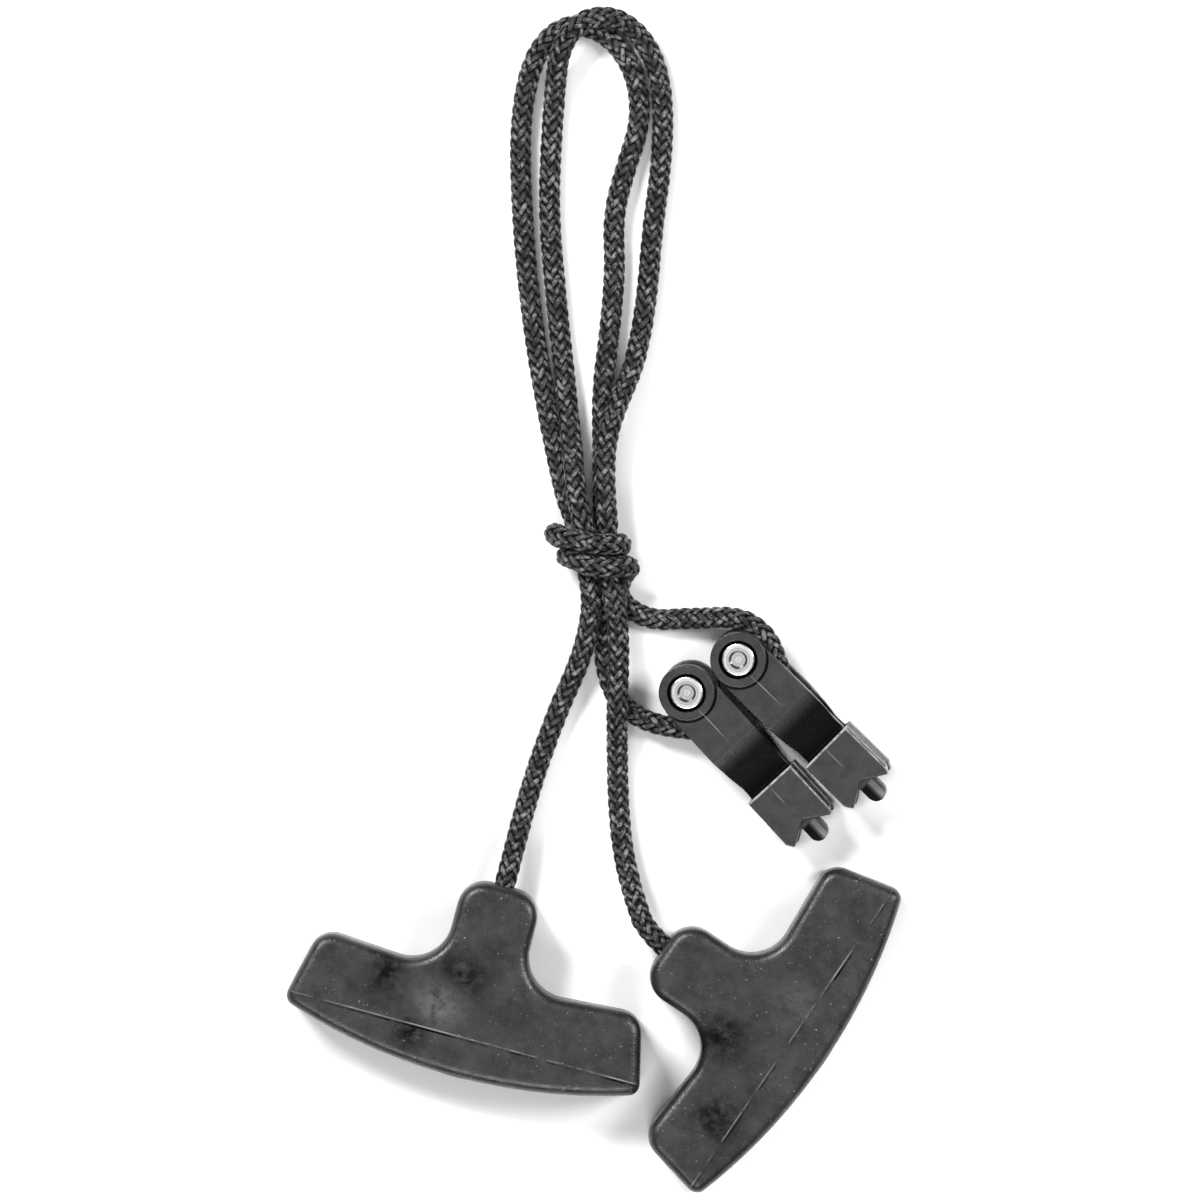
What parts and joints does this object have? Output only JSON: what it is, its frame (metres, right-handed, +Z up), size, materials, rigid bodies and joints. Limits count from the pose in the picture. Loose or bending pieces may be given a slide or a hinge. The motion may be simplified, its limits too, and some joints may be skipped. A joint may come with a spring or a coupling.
{
  "type": "rope clutch",
  "caption": "Pair of braided pull cords tied in one knot, each with a moulded T-handle at one end and a riveted scissor-action rope clutch at the other.",
  "frame": {"origin": "centre of the box around the handles, clutches and what they hold, without the cords and their knot, on the surface the set lies on", "axes": "+Z up from that surface, +Y from the handles towards the cords' bight, +X towards the clutches"},
  "size_m": [0.1699, 0.3307, 0.02],
  "materials": {
    "handle_plastic": "fine moulded grain, satin edges",
    "clutch_plastic": "fine moulded grain",
    "tongue_plastic": "satin",
    "cord_black": "braided polyester",
    "rivet_metal": "bright",
    "washer_steel": "satin"
  },
  "bodies": {
    "cords": {"cord_knot": "cord_black", "cord_1_tail": "cord_black", "cord_1_loop": "cord_black", "cord_1_lead": "cord_black", "stopper_knot_1": "cord_black", "tongue_1": "tongue_plastic", "cord_end_1": "cord_black", "cord_2_tail": "cord_black", "cord_2_loop": "cord_black", "cord_2_lead": "cord_black", "stopper_knot_2": "cord_black", "tongue_2": "tongue_plastic", "cord_end_2": "cord_black"},
    "washer_1": {"handle_washer_1": "washer_steel"},
    "grip_1": {"handle_1": "handle_plastic", "palm_plug_1": "handle_plastic"},
    "front_side_1": {"front_cheek_1": "clutch_plastic", "rivet_1": "rivet_metal", "rivet_washer_1": "washer_steel"},
    "back_side_1": {"back_cheek_1": "clutch_plastic"},
    "washer_2": {"handle_washer_2": "washer_steel"},
    "grip_2": {"handle_2": "handle_plastic", "palm_plug_2": "handle_plastic"},
    "front_side_2": {"front_cheek_2": "clutch_plastic", "rivet_2": "rivet_metal", "rivet_washer_2": "washer_steel"},
    "back_side_2": {"back_cheek_2": "clutch_plastic"}
  },
  "joints": [
    {"name": "handle_1_slide", "type": "slide", "parent": "cords", "child": "washer_1", "axis": [0.2605, 0.9655, 0], "range_m": [0, 0.002]},
    {"name": "handle_1_turn", "type": "hinge", "parent": "washer_1", "child": "grip_1", "pos_m": [-0.0249, 0.0059, 0.01], "axis": [0.2605, 0.9655, 0], "continuous": true},
    {"name": "front_cheek_1_swing", "type": "hinge", "parent": "cords", "child": "front_side_1", "pos_m": [0.0404, 0.0692, 0.00825], "axis": [-0.1096, -0.1116, 0.9877], "range_deg": [0, 40]},
    {"name": "back_cheek_1_swing", "type": "hinge", "parent": "cords", "child": "back_side_1", "pos_m": [0.0404, 0.0692, 0.00825], "axis": [-0.1096, -0.1116, 0.9877], "range_deg": [0, 40]},
    {"name": "handle_2_slide", "type": "slide", "parent": "cords", "child": "washer_2", "axis": [-0.8261, 0.5635, 0], "range_m": [0, 0.002]},
    {"name": "handle_2_turn", "type": "hinge", "parent": "washer_2", "child": "grip_2", "pos_m": [0.0187, -0.0118, 0.01], "axis": [-0.8261, 0.5635, 0], "continuous": true},
    {"name": "front_cheek_2_swing", "type": "hinge", "parent": "cords", "child": "front_side_2", "pos_m": [0.0262, 0.06, 0.00825], "axis": [-0.115, -0.1061, 0.9877], "range_deg": [-40, 0]},
    {"name": "back_cheek_2_swing", "type": "hinge", "parent": "cords", "child": "back_side_2", "pos_m": [0.0262, 0.06, 0.00825], "axis": [-0.115, -0.1061, 0.9877], "range_deg": [-40, 0]}
  ]
}
